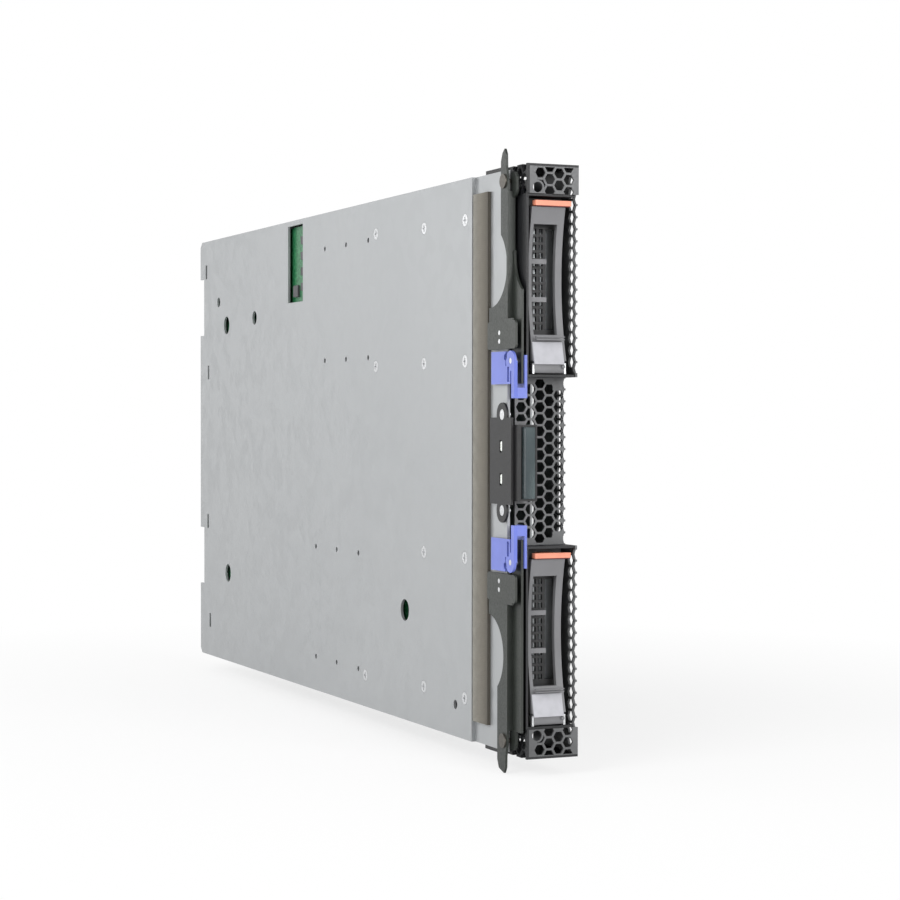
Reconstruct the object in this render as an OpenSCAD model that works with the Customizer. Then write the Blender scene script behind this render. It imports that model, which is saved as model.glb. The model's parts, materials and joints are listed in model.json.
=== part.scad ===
/* [Envelope] */
// Width across the pan and the cover
blade_w = 29; // [28.5:0.5:31]
// Depth from the face of the bezel to the rear edge of the pan
blade_d = 438; // [434:1:450]
// Height of the base pan, from guide face to guide face
pan_h = 241.2; // [240:0.1:244]
// How far the bezel stands past the pan at each end
bezel_over = 1.9; // [1:0.1:2.5]

/* [Sheet metal] */
// Thickness of the pan and the cover
sheet = 1.2; // [1:0.1:1.4]
// Thickness of the perforated bezel sheet
grille_t = 1.0; // [0.8:0.1:1.2]
// Thickness of the ejector lever sheet
lever_t = 1; // [0.9:0.05:1.1]
// Where the outer skin of the pan starts, behind the bezel face
skin_y = 43.5; // [42:0.5:46]
// How far the front tongue of the pan steps in from the skin
joggle = 1.9; // [1.8:0.05:2.2]
// Front edge of that tongue, behind the bezel face
tongue_y = 11.4; // [11.2:0.1:11.8]

/* [Honeycomb] */
// Spacing of the hexagons along a column
hex_pitch = 5; // [4.8:0.1:6]
// Width across the flats of one hexagon
hex_af = 4.1; // [3.6:0.1:4.3]
// How far the centre grille sits behind the bezel face
step_y = 12; // [11.8:0.1:14]
// Columns of hexagons on the side grille
side_columns = 2; // [1:1:4]

/* [Drive bays] */
// Height of each drive section of the bezel
section_h = 87.6; // [87:0.1:88]
// Height of the corner honeycomb beyond the bay
corner_h = 12.2; // [11.6:0.1:12.4]
// Clear height inside a bay
bay_h = 73.4; // [73:0.1:73.8]
// Room behind the drive for the backplane connector
connector_room = 5.8; // [5:0.1:8]
// Gap between a carrier and the shelves of its bay
carrier_gap = 0.3; // [0.2:0.05:0.4]

/* [Drive] */
// Thickness of the 2.5 inch drive
drive_t = 14.8; // [9.5:0.1:15]
// Length of the drive
drive_l = 100.4; // [99:0.1:101]
// Width of the drive
drive_w = 69.8; // [69:0.1:70]
// Width of the carrier and its handle across the blade
carrier_w = 17; // [16.8:0.1:17.4]
// Free travel of a carrier out of its bay
carrier_travel = 100; // [60:1:104]

/* [Drive handle] */
// How far the middle of the bowed handle is set back
bow = 4.6; // [3:0.1:5]
// Thickness of the bowed frame
handle_t = 2.2; // [1.8:0.1:2.4]
// Height of the finger window
window_h = 45.6; // [38:0.1:47]
// Width of the finger window
window_w = 10.7; // [8:0.1:11]

/* [Ejector levers] */
// Distance of the lever pivot from the guide face
pivot_z = 4.6; // [4:0.1:5.5]
// Distance of the lever pivot behind the bezel face
pivot_y = 12.6; // [12:0.1:13.5]
// Radius of the lever pivot pin
pin_r = 1.5; // [1.2:0.1:1.8]
// Running clearance round a pin
pin_gap = 0.08; // [0.05:0.01:0.1]
// How far the cam horn reaches past the guide face
horn = 8.8; // [7:0.1:9.5]
// Distance from mid height to the outer end of the lever bracket
lever_mid = 58.1; // [57.5:0.1:60]
// Height of the riveted bracket at the end of the lever
bracket_h = 11.6; // [11:0.1:12.5]

/* [Control panel] */
// Height of the control panel housing
panel_h = 31.4; // [31:0.1:33]
// Width of the control panel housing across the blade
panel_w = 8.5; // [8.3:0.1:9]
// Wall of the control panel housing
panel_wall = 0.8; // [0.7:0.05:1]
// Travel of each push button
button_travel = 1.0; // [0.6:0.1:1.2]

/* [System board] */
// Height of the standoffs under the board
standoff_h = 1.8; // [1.6:0.1:2]
// Thickness of the board
board_t = 1.6; // [1.4:0.1:1.8]
// Size of each processor heatsink along the blade
sink_l = 74; // [70:1:80]
// Size of each processor heatsink across its fins
sink_w = 68; // [66:1:70]
// Fins on each processor heatsink
fins = 24; // [12:1:26]
// Memory slots in each bank
slots = 6; // [2:1:6]
// Margin between the outer memory slots and the steps of the bezel
slot_margin = 13.3; // [10:0.1:16]

/* [Cover] */
// Distance of the hinge pins from the rear edge of the pan
hinge_back = 6; // [5.5:0.1:8]
// Travel of the cover release buttons
release_travel = 3; // [2:0.1:3.2]

/* [Hidden] */
$fn = 48;

// Clearance between two sheets that slide past each other
sheet_gap = 0.1;
leg_t = 1.1;

// Planes across the blade, from the pan side to the cover side
x_pan = -blade_w / 2;
x_cover = blade_w / 2;
x_floor = x_pan + sheet;
x_tongue = x_pan + joggle;
x_mid = x_tongue + sheet;
x_plate = x_tongue - 0.2 - lever_t;
x_flange = x_mid + sheet_gap;
x_leg = x_flange + lever_t + sheet_gap;
x_bay = x_leg + leg_t + 0.2;
x_bay_in = x_bay + grille_t;
x_board = x_floor + standoff_h;
x_board_top = x_board + board_t;
x_lid = x_cover - sheet;

// Heights of the bezel sections
bezel_lo = -bezel_over;
bezel_hi = pan_h + bezel_over;
mid_z = pan_h / 2;
lever_l = mid_z - lever_mid;
step_lo = bezel_lo + section_h;
step_hi = bezel_hi - section_h;
bay_floors = [bezel_lo + corner_h + grille_t, step_hi + grille_t];
hex_col = hex_pitch * sqrt(3) / 2;

// Carrier and handle
carrier_h = bay_h - 2 * carrier_gap;
x_carrier = x_bay_in + 1.5;
front_plate_y = 8.2;
front_plate_t = 1.6;
drive_y = front_plate_y + front_plate_t + 2;
bay_d = drive_y + drive_l + connector_room;
bow_span = 33;
bow_r = (bow_span * bow_span + bow * bow) / (2 * bow);

// Moves all that it holds so that the origin lies at mid depth
module blade() translate([0, -blade_d / 2, 0]) children();

// A block between two corners
module block(a, b) translate(a) cube(b - a);

// A flat sheet that faces the side: outline in depth and height, thickness along the width
module side_sheet(x, t) translate([x, 0, 0]) rotate([90, 0, 90]) linear_extrude(t) children();

// A flat sheet that faces the front: outline in width and height, thickness along the depth
module front_sheet(y, t) translate([0, y + t, 0]) rotate([90, 0, 0]) linear_extrude(t) children();

// Round bars along the width, the depth and the height
module x_bar(x0, x1, y, z, r) translate([x0, y, z]) rotate([0, 90, 0]) cylinder(h = x1 - x0, r = r);
module y_bar(y0, y1, x, z, r) translate([x, y0, z]) rotate([-90, 0, 0]) cylinder(h = y1 - y0, r = r);
module z_bar(z0, z1, x, y, r) translate([x, y, z0]) cylinder(h = z1 - z0, r = r);

// Turns an upper feature into its twin at the lower end
module flip(upper) translate([0, 0, upper ? pan_h : 0]) mirror([0, 0, upper ? 1 : 0]) children();

module rect(u0, u1, v0, v1) translate([u0, v0]) square([u1 - u0, v1 - v0]);

// A rectangle with rounded corners
module soft_rect(u0, u1, v0, v1, r) hull()
    for (u = [u0 + r, u1 - r], v = [v0 + r, v1 - r]) translate([u, v]) circle(r = r, $fn = 32);

// Staggered columns of hexagons about the middle of a height range, each with its own number of rows
module honeycomb(first, columns, v_mid, rows, phase = 0)
    for (i = [0 : columns - 1])
        let (n = rows + (i + phase) % 2)
            for (j = [0 : n - 1])
                translate([first + i * hex_col, v_mid + (j - (n - 1) / 2) * hex_pitch])
                    circle(r = hex_af / 2 / cos(30), $fn = 6);

// ---- Base pan and bezel ----

connector_z = [57.5, mid_z * 2 - 38.2];
connector_hw = 16.5;
notch_d = 7;
wall_top = 1.2;
cage_screws_y = [51, 96.6];
cage_lift = [6.4, 67];
flush_screws = [[169.3, 15], [155.6, pan_h - 15.7], [155.6, pan_h - 78.4]];

// The window in the skin over the underside of the board
window_y = 258.5;
window_z = pan_h - 42.6;

module pan_holes() {
    for (z = connector_z) rect_notch(z);
    rect(window_y, window_y + 23, window_z, window_z + 40);
    for (p = [[119.1, 50.4], [385.2, 50.1], [387.7, pan_h - 50.2]]) translate(p) circle(r = 5);
    translate([337.4, pan_h - 48]) circle(r = 3.7);
    translate([402.6, pan_h - 36.5]) circle(r = 2.8);
    translate([60.8, 13.9]) circle(r = 2);
    for (p = [[422.5, pan_h - 76.4], [419.4, 20.4], [426.5, pan_h - 17.8], [423.5, 78.1]])
        translate(p) square([3, 8], center = true);
    for (c = sink_places, dy = [-30, 0, 30], dz = [-28, 28]) translate(c + [dy, dz]) circle(r = 1.25);
}

module rect_notch(z) rect(blade_d - notch_d, blade_d + 1, z - connector_hw, z + connector_hw);

sink_places = [[195.6, pan_h - 46], [208.6, 45.2]];

// Countersunk holes for the flush screws, cut from outside
module flush_holes() for (p = screw_places())
    x_bar(x_pan - 1, x_floor + 1, p[0], p[1], 2.8);

function screw_places() = concat(cage_places, flush_screws);

module base_pan() color("#a9adb0") blade() difference() {
    union() {
        side_sheet(x_pan, sheet) difference() {
            polygon([[skin_y, 0], [blade_d - 3, 0], [blade_d, 3], [blade_d, pan_h - 3],
                     [blade_d - 3, pan_h], [skin_y, pan_h]]);
            pan_holes();
        }
        side_sheet(x_tongue, sheet) rect(tongue_y, skin_y + sheet, 0, pan_h);
        block([x_floor, skin_y, 0], [x_mid, skin_y + sheet, pan_h]);
        for (z = [0, pan_h - sheet]) block([x_floor, skin_y, z], [x_lid - 0.1, blade_d - 3, z + sheet]);
        difference() {
            block([x_floor, blade_d - 3 - sheet, 0], [0, blade_d - 3, pan_h]);
            for (z = connector_z) block([x_floor, blade_d - 9, z - connector_hw],
                                        [1, blade_d, z + connector_hw]);
        }
    }
    flush_holes();
    for (upper = [false, true]) flip(upper) {
        x_bar(x_tongue - 1, x_mid + 1, pivot_y, pivot_z, pin_r);
        release_slot();
        z_bar(-1, sheet + 1, hinge_x, hinge_y, hinge_pin_r);
    }
    for (z = panel_screws_z) x_bar(x_tongue - 1, x_mid + 1, panel_screw_y, z, 1.2);
    for (p = wall_slots) block([-6, p, -1], [3, p + 8, sheet + 1]);
}
wall_slots = [80, 180, 280, 380];

module side_gasket() color("#6f6a5e") blade()
    block([x_pan + 0.4, gasket_y, 9], [x_tongue, skin_y - 0.2, pan_h - 7.5]);
gasket_y = 28;

// Left return, end wall and tab of one end of the bezel
module bezel_end() {
    end_y = 44;
    difference() {
        union() {
            block([x_bay, 0, -bezel_over], [x_cover, end_y - 3, -bezel_over + grille_t]);
            block([x_bay, 0, -bezel_over + grille_t], [x_bay_in, 18, corner_h - bezel_over]);
            block([x_mid, 20, -bezel_over], [x_bay, 36, -bezel_over + grille_t]);
            block([x_mid, 20, -bezel_over + grille_t], [x_mid + grille_t, 36, corner_h - bezel_over]);
        }
        side_sheet(x_bay - 1, grille_t + 2) honeycomb(3.4, 3, corner_h / 2 - bezel_over, 2, 1);
    }
}

module bezel_top() color("#26272a") blade() flip(true) bezel_end();
module bezel_bottom() color("#26272a") blade() bezel_end();

// Perforated corner plate that closes the end of a drive section
module corner_grille() front_sheet(0, grille_t) difference() {
    rect(x_bay_in, x_cover, -bezel_over + grille_t, corner_h - bezel_over);
    difference() {
        honeycomb(x_bay + 5.8, 4, corner_h / 2 - bezel_over + 0.1, 2, 0);
        translate(locating_hole) circle(r = 2.9);
        rect(x_bay_in - 1, x_cover + 1, -bezel_over, -bezel_over + grille_t + 0.3);
    }
    translate(locating_hole) circle(r = 2.15);
}
locating_hole = [x_bay + 4.6, 9.7 - bezel_over];

module upper_grille() color("#303134") blade() flip(true) corner_grille();
module lower_grille() color("#303134") blade() corner_grille();

module centre_grille() color("#303134") blade() front_sheet(step_y, grille_t) difference() {
    rect(x_bay, x_cover - grille_t, step_lo, step_hi);
    difference() {
        honeycomb(x_bay + 2.8, 5, mid_z, centre_rows, 1);
        rect(x_bay, panel_x1 + 0.6, panel_z0 - 1.4, panel_z1 + 1.4);
        for (v = [step_lo, step_hi]) rect(x_bay, x_cover, v - 0.8, v + 0.8);
        for (v = [step_lo, step_hi]) rect(x_cover - 6, x_cover, v - 5.4, v + 5.4);
    }
}
centre_rows = floor((step_hi - step_lo) / hex_pitch);

module side_grille() color("#303134") blade() side_sheet(x_cover - grille_t, grille_t) difference() {
    rect(grille_t, 41, bezel_lo + grille_t, bezel_hi - grille_t);
    rect(0, step_y, step_lo, step_hi);
    for (z = [bezel_lo + section_h / 2, bezel_hi - section_h / 2])
        honeycomb(grille_t, side_columns, z, 16, 1);
    honeycomb(step_y, side_columns, mid_z, centre_rows, 1);
}

// ---- Drive bays ----

// Sheet cage: two shelves and a wall towards the pan
module drive_bay(floor_z) {
    top_z = floor_z + bay_h;
    difference() {
        union() {
            block([x_bay, grille_t, floor_z - grille_t], [x_bay_in, bay_d + 3, top_z + grille_t]);
            for (z = [floor_z - grille_t, top_z])
                block([x_bay_in, grille_t, z], [x_lid - 0.3, bay_d + 3, z + grille_t]);
        }
        for (y = cage_screws_y, z = cage_lift)
            x_bar(x_bay - 1, x_bay_in + 1, y, floor_z + z, 1.25);
        for (i = [0 : 3]) block([x_bay_in + 4, 24 + i * 22, floor_z - 2], [x_lid - 5, 38 + i * 22, floor_z + 1]);
    }
}

module drive_bay_upper() color("#2b2c2f") blade() drive_bay(bay_floors[1]);
module drive_bay_lower() color("#2b2c2f") blade() drive_bay(bay_floors[0]);

module backplane_boards() color("#1f5c33") blade() for (z = bay_floors)
    block([x_bay_in, bay_d, z], [x_carrier + carrier_w, bay_d + board_t, z + bay_h]);

module backplane_connectors() color("#1b1b1d") blade() for (z = bay_floors)
    translate([x_carrier + 1.2 + drive_t / 2, 0, z + bay_h / 2]) {
        block([-3, drive_y + drive_l + 0.4, -22], [3, bay_d, 22]);
        block([-1, drive_y + drive_l - 3, -19.5], [1, drive_y + drive_l + 0.4, 19.5]);
    }

// One flush screw, its head down in the skin and its shank in the post behind
module pan_screw(p) difference() {
    union() {
        x_bar(x_pan, x_floor, p[0], p[1], 2.7);
        x_bar(x_floor, x_floor + standoff_h - 0.2, p[0], p[1], 1.2);
    }
    for (a = [0, 90]) translate([x_pan, p[0], p[1]]) rotate([a, 0, 0]) cube([1, 0.6, 3], center = true);
}

module pan_screws() color("#c9ccce") blade() for (p = screw_places()) pan_screw(p);

// ---- System board ----

board_front = bay_d + 8;
board_rear = blade_d - 10;
board_screw_places = [[board_front + 6, 20], [74, mid_z], [board_front + 6, pan_h - 8],
    [252, 10], [252, pan_h - 10], [board_rear - 128, 88], [board_rear - 58, 20], [board_rear - 58, pan_h - 20],
    [board_rear - 8, 88], [board_rear - 8, pan_h - 90], [board_rear - 8, 8], [board_rear - 8, pan_h - 8]];

module system_board() color("#1f5c33") blade() side_sheet(x_board, board_t) difference() {
    union() {
        rect(board_front, board_rear, 3, pan_h - 3);
        rect(64, board_front, step_lo + 2, step_hi - 2);
    }
    for (p = concat(board_screw_places, flush_screws)) translate(p) circle(r = 1.3);
}

// A turned spacer with a tapped bore, from the pan to the sheet that it carries
module spacer(p, x) difference() {
    x_bar(x_floor, x, p[0], p[1], 2.6);
    x_bar(x_floor - 1, x + 1, p[0], p[1], 1.25);
}

module board_standoffs() color("#b8a15a") blade() {
    for (p = concat(board_screw_places, flush_screws)) spacer(p, x_board);
    for (p = cage_places) spacer(p, x_bay);
}
cage_places = [for (floor_z = bay_floors, y = cage_screws_y, z = cage_lift) [y, floor_z + z]];

module board_screws() color("#c9ccce") blade() for (p = board_screw_places) {
    x_bar(x_board_top, x_board_top + 1.2, p[0], p[1], 2.5);
    x_bar(x_floor + 0.2, x_board_top, p[0], p[1], 1.2);
}

socket_h = 3.4;
lid_h = 1.5;
module processor_sockets() color("#d8d3c4") blade() for (c = sink_places) difference() {
    block([x_board_top, c[0] - 23, c[1] - 23], [x_board_top + socket_h, c[0] + 23, c[1] + 23]);
    block([x_board_top + 1, c[0] - 20, c[1] - 20], [x_board_top + socket_h + 1, c[0] + 20, c[1] + 20]);
}

module processors() color("#b9bcc0") blade() for (c = sink_places) {
    block([x_board_top + 1, c[0] - 19.7, c[1] - 19.7], [x_board_top + socket_h, c[0] + 19.7, c[1] + 19.7]);
    block([x_board_top + socket_h, c[0] - 16, c[1] - 16],
          [x_board_top + socket_h + lid_h, c[0] + 16, c[1] + 16]);
}

x_sink = x_board_top + socket_h + lid_h;
sink_base = 3;
sink_top = x_lid - 1.6;
fin_t = 0.6;

// Base plate, parallel fins along the air flow and four screw pads
module heatsink(c) difference() {
    union() {
        block([x_sink, c[0] - sink_l / 2, c[1] - sink_w / 2],
              [x_sink + sink_base, c[0] + sink_l / 2, c[1] + sink_w / 2]);
        for (i = [0 : fins - 1])
            translate([x_sink + sink_base, c[0] - sink_l / 2,
                       c[1] - sink_w / 2 + i * (sink_w - fin_t) / (fins - 1)])
                cube([sink_top - x_sink - sink_base, sink_l, fin_t]);
    }
    for (dy = [-30, 0, 30], dz = [-28, 28]) {
        x_bar(x_sink - 1, sink_top + 1, c[0] + dy, c[1] + dz, 1.6);
        x_bar(x_sink + sink_base, sink_top + 1, c[0] + dy, c[1] + dz, 3.8);
    }
}

module heatsink_front() color("#c3c6c9") blade() heatsink(sink_places[0]);
module heatsink_rear() color("#c3c6c9") blade() heatsink(sink_places[1]);

module heatsink_screws() color("#d0d2d4") blade()
    for (c = sink_places, dy = [-30, 0, 30], dz = [-28, 28]) {
        x_bar(x_sink + sink_base, x_sink + sink_base + 2.4, c[0] + dy, c[1] + dz, 3);
        x_bar(x_board_top, x_sink + sink_base, c[0] + dy, c[1] + dz, 1.5);
    }

bank_fronts = [88, 232];
slot_l = 141;
module_l = 133.4;
module_h = 18.3;
slot_pitch = (step_hi - step_lo - 2 * slot_margin) / max(slots - 1, 1);
slot_z0 = mid_z - (slots - 1) / 2 * slot_pitch;

module memory_sockets() color("#1d1e20") blade()
    for (y = bank_fronts, i = [0 : slots - 1]) translate([x_board_top, y, slot_z0 + i * slot_pitch])
        difference() {
            union() {
                block([0, 0, -2.6], [5.5, slot_l, 2.6]);
                for (e = [0, slot_l - 3]) block([5.5, e, -2], [12, e + 3, 2]);
            }
            block([2.5, (slot_l - module_l) / 2 - 0.2, -0.8], [13, (slot_l + module_l) / 2 + 0.2, 0.8]);
        }

module memory_modules() color("#1f5c33") blade()
    for (y = bank_fronts, i = [0 : slots - 1])
        translate([x_board_top + 2.5, y + (slot_l - module_l) / 2, slot_z0 + i * slot_pitch]) {
            block([0, 0, -0.65], [module_h, module_l, 0.65]);
            for (k = [0 : 8]) for (s = [-1.65, 0.65])
                if (k != 4) block([6, 5 + k * 14, s], [15.5, 15 + k * 14, s + 1]);
        }

module chipset_heatsink() color("#b0b3b6") blade() translate([x_board_top + 1.6, board_rear - 128, 52]) {
    block([0, -18, -18], [2, 18, 18]);
    for (i = [0 : 8]) block([2, -18, -18 + i * 4.35], [11, 18, -16.8 + i * 4.35]);
    block([-1.6, -13, -13], [0, 13, 13]);
}

battery = [board_rear - 76, 48];
module battery_holder() color("#1d1e20") blade() difference() {
    x_bar(x_board_top, x_board_top + 4.6, battery[0], battery[1], 12);
    x_bar(x_board_top + 1, x_board_top + 5, battery[0], battery[1], 10.2);
}

module coin_cell() color("#c9ccce") blade()
    x_bar(x_board_top + 1, x_board_top + 4.2, battery[0], battery[1], 10);

module expansion_connectors() color("#e6e2d4") blade()
    for (p = [[board_rear - 98, pan_h - 42], [board_rear - 98, pan_h - 66],
              [board_rear - 48, pan_h - 66]])
        difference() {
            block([x_board_top, p[0], p[1] - 3], [x_board_top + 7, p[0] + 42, p[1] + 3]);
            block([x_board_top + 3, p[0] + 2, p[1] - 1], [x_board_top + 8, p[0] + 40, p[1] + 1]);
        }

guide_r = 2.5;
guide_l = 12;
connector_x = [x_board_top, 0.8];
// Signal and power block with two guide bores and rows of contact cavities, open to the rear
module midplane_connectors() color("#17181a") blade() for (z = connector_z) difference() {
    block([connector_x[0], blade_d - 26, z - connector_hw + 1.5],
          [connector_x[1], blade_d + 5, z + connector_hw - 1.5]);
    for (s = [-1, 1])
        y_bar(blade_d + 5 - guide_l, blade_d + 6, (connector_x[0] + connector_x[1]) / 2,
              z + s * 10.5, guide_r);
    for (i = [0 : 4]) block([connector_x[0] + 2, blade_d + 1, z - 6.5 + i * 2.8],
                            [connector_x[1] - 2, blade_d + 6, z - 4.9 + i * 2.8]);
}

// Parts on both faces of the board: coils, capacitors and chips
module board_components() color("#3a3b3e") blade() {
    for (i = [0 : 5]) block([x_board_top, 262, pan_h - 78 + i * 11], [x_board_top + 6, 271, pan_h - 69.5 + i * 11]);
    for (i = [0 : 3]) x_bar(x_board_top, x_board_top + 8, 284, pan_h - 70 + i * 12, 3.8);
    for (i = [0 : 3]) block([x_board_top, 262 + i * 13, 8], [x_board_top + 5, 271 + i * 13, 17]);
    for (i = [0 : 2]) x_bar(x_board_top, x_board_top + 8, board_rear - 28, 98 + i * 11, 3.8);
    block([x_board_top, board_rear - 44, 106], [x_board_top + 1.6, board_rear - 34, 124]);
    block([x_board_top, board_rear - 110, pan_h - 24], [x_board_top + 1.6, board_rear - 88, pan_h - 8]);
    for (i = [0 : 3]) block([x_board - 1, window_y + 3, window_z + 6 + i * 8],
                            [x_board, window_y + 9, window_z + 10 + i * 8]);
    block([x_board - 1.2, window_y + 13, window_z + 3], [x_board, window_y + 20, window_z + 9]);
}

// ---- Control panel ----

panel_z0 = mid_z - panel_h / 2 - 0.5;
panel_z1 = panel_z0 + panel_h;
panel_x0 = x_pan + 1.6;
panel_x1 = panel_x0 + panel_w;
panel_depth = step_y;
bracket_t = 1;
panel_screws_z = [panel_z0 - 4.2, panel_z1 + 4.2];
panel_screw_y = tongue_y + 1.6;
face_y = 3;
face_t = 1;
door_x = panel_x0 + 2.6;
door_y = 0.95;
door_swing_r = 1.3;
door_gap = 0.2;
door_pin_r = 0.45;
panel_cx = (door_x + panel_x1 - panel_wall) / 2;
button_z = [panel_z0 + 6, panel_z0 + 13, panel_z0 + 20];
button_r = 2;
light_z = [for (i = [0 : 3]) panel_z1 - 6.6 + i * 1.6];

module control_panel_housing() color("#1c1d20") blade() difference() {
    union() {
        block([panel_x0, 0, panel_z0], [panel_x1, tongue_y - 0.2, panel_z1]);
        block([x_bay, 0, panel_z0], [panel_x1, panel_depth, panel_z1]);
        side_sheet(x_pan, bracket_t) {
            rect(3.8, 24.7, panel_z0 - 1.6, panel_z1 + 3);
            for (z = panel_screws_z) translate([panel_screw_y, z]) circle(r = 5);
        }
        for (z = panel_screws_z) x_bar(x_pan, x_tongue, panel_screw_y, z, 2.6);
        block([x_pan + bracket_t, 4, panel_z0 + 0.2], [panel_x0 + 0.1, tongue_y - 0.2, panel_z1 - 0.2]);
    }
    block([door_x - door_swing_r, -1, panel_z0 + panel_wall],
          [panel_x1 - panel_wall, face_y, panel_z1 - panel_wall]);
    block([panel_x0 + panel_wall, face_y + face_t, panel_z0 + panel_wall],
          [panel_x1 - panel_wall, tongue_y + 1, panel_z1 - panel_wall]);
    block([x_bay + panel_wall, face_y + face_t, panel_z0 + panel_wall],
          [panel_x1 - panel_wall, panel_depth + 1, panel_z1 - panel_wall]);
    for (z = button_z) y_bar(face_y - 1, face_y + face_t + 1, panel_cx, z, button_r + pin_gap);
    for (z = light_z) y_bar(face_y - 1, face_y + face_t + 1, panel_cx, z, 0.5);
    for (z = panel_screws_z) {
        x_bar(x_pan - 1, x_tongue + 1, panel_screw_y, z, 1.3);
        x_bar(x_pan - 1, x_pan + 0.9, panel_screw_y, z, 2.3);
    }
    for (z = [panel_z0 + 8.7, panel_z0 + 22.4]) side_sheet(x_pan - 1, bracket_t + 2)
        translate([13.8, z]) square([2.4, 5], center = true);
    z_bar(panel_z0 + 0.1, panel_z1 - 0.1, door_x, door_y, door_pin_r + pin_gap);
}

module control_panel_screws() color("#c9ccce") blade() for (z = panel_screws_z) {
    x_bar(x_pan + 0.1, x_pan + 0.9, panel_screw_y, z, 2.2);
    x_bar(x_pan + 0.9, x_mid + 0.5, panel_screw_y, z, 1.2);
}

panel_board_y = tongue_y - 1.8;
module control_panel_board() color("#1f5c33") blade()
    block([panel_x0 + panel_wall, panel_board_y, panel_z0 + panel_wall],
          [panel_x1 - panel_wall, panel_board_y + board_t, panel_z1 - panel_wall]);

module status_light_pipes() color("#d9efe0") blade() for (z = light_z)
    y_bar(face_y, panel_board_y, panel_cx, z, 0.5);

// Door hinged on the edge nearest the pan
module control_panel_door() color("#4a5a5e") blade() {
    block([door_x, -0.1, panel_z0 + panel_wall + door_gap],
          [panel_x1 - panel_wall - door_gap, 0.9, panel_z1 - panel_wall - door_gap]);
    z_bar(panel_z0 + 0.2, panel_z1 - 0.2, door_x, door_y, door_pin_r);
}

// A capped plunger with a flange that keeps it behind the face
module panel_button(z, r) {
    y_bar(face_y - button_travel - 0.3, face_y + face_t + 0.2, panel_cx, z, r);
    y_bar(face_y + face_t + 0.02, face_y + face_t + 0.8, panel_cx, z, r + 0.5);
    y_bar(face_y + face_t + 0.8, panel_board_y - button_travel - 0.2, panel_cx, z, 1);
}

module power_button() color("#e8ebe4") blade() panel_button(button_z[2], button_r);
module media_button() color("#3c4043") blade() panel_button(button_z[1], button_r);
module kvm_button() color("#3c4043") blade() panel_button(button_z[0], button_r);

// ---- Cover ----

hinge_x = x_lid - 4.4;
hinge_y = blade_d - hinge_back;
hinge_pin_r = 1.4;
flange_gap = 0.2;
flange_in = 1.2;
release_y = 60;
release_l = 12;
cover_y0 = 44;

module cover() color("#a9adb0") blade() difference() {
    union() {
        side_sheet(x_lid, sheet) {
            rect(cover_y0, hinge_y - 4.6, 0, pan_h);
            rect(cover_y0, blade_d - 0.6, sheet + flange_gap, pan_h - sheet - flange_gap);
        }
        for (upper = [false, true]) flip(upper) side_sheet_z(sheet + flange_gap, flange_in) {
            rect(cover_y0 + 4, hinge_y, hinge_x - 3, x_lid);
            translate([hinge_y, hinge_x]) circle(r = 3);
            rect(hinge_y, hinge_y + 3, hinge_x, x_lid);
        }
    }
    for (upper = [false, true]) flip(upper) {
        z_bar(0.9, sheet + flange_gap + flange_in + 1, hinge_x, hinge_y, hinge_pin_r + pin_gap);
        block([hinge_x - 2.8, release_y - 0.2, 0.6], [x_lid - 0.8, release_y + release_l + 0.2, 6]);
    }
}

// A flat sheet that faces up: outline in depth and width
module side_sheet_z(z, t) translate([0, 0, z]) mirror([1, -1, 0]) linear_extrude(t) children();

module cover_hinge_pins() color("#c9ccce") blade() for (upper = [false, true]) flip(upper)
    z_bar(0.1, sheet + flange_gap + flange_in + 0.6, hinge_x, hinge_y, hinge_pin_r);

module release_slot() block([hinge_x - 3.2, release_y - 0.6, -1], [x_lid + 1, release_y + release_l + 0.6, sheet + 1]);

module cover_release() {
    block([hinge_x - 2.6, release_y, 0.2], [x_lid - 1, release_y + release_l, sheet + flange_gap + 3]);
    block([hinge_x - 2.6, release_y - 2.6, sheet + flange_gap + flange_in + 0.1],
          [x_lid - 0.2, release_y + release_l + 2.6, sheet + flange_gap + flange_in + 1.4]);
}

module cover_release_upper() color("#4468c9") blade() flip(true) cover_release();
module cover_release_lower() color("#4468c9") blade() cover_release();

// ---- Ejector levers and their grips ----

arc_r = 17;
arc_z = lever_l - 23;
arc_y = 27.4;
plate_front = 9;
plate_rear = 16.4;
grip_front = -0.3;
grip_y = grip_front + 5;
grip_z = lever_l + bracket_h + 5;
grip_pin_r = 1.2;
grip_end = grip_z + 15.4;
flange_end = grip_z + 9.4;
rivets = [[15.6, lever_l + 4.7], [15.6, lever_l + 8.3]];

// Outer plate: a hooked cam horn, a waist cut by one arc and a shoulder; back moves its rear edge
module plate_outline(back) {
    rear = plate_rear + back;
    join_z = arc_z - sqrt(arc_r * arc_r - pow(arc_y - plate_rear, 2));
    difference() {
        union() {
            polygon([[plate_front, pivot_z], [plate_front + 1.4, -1.4], [plate_front + 1.6, 2.4 - horn],
                     [plate_front + 3, -horn], [rear - 1.6, -horn + 1.6], [rear, -horn + 5], [rear, pivot_z]]);
            rect(plate_front, rear, pivot_z, join_z);
            rect(plate_front, arc_y - 0.2, join_z, lever_l + 2);
        }
        translate([arc_y + back, arc_z]) circle(r = arc_r);
    }
}

// End bracket, hollowed round the lobe of the grip
module bracket_outline() difference() {
    soft_rect(grip_front, arc_y - 0.1, lever_l, lever_l + bracket_h, 1.6);
    translate([grip_y, grip_z]) circle(r = 4.9);
}

// Inner flange: straight on one lever, swept back past the bay latch on the other
module flange_outline(swept) {
    soft_rect(5.4, 17.4, 1, 11.4, 3);
    difference() {
        rect(grip_front + 0.9, plate_front + 1, swept ? lever_l - 29 : 9, flange_end);
        if (swept) translate([grip_front - 9, lever_l - 26.5]) circle(r = 17);
    }
}

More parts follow.
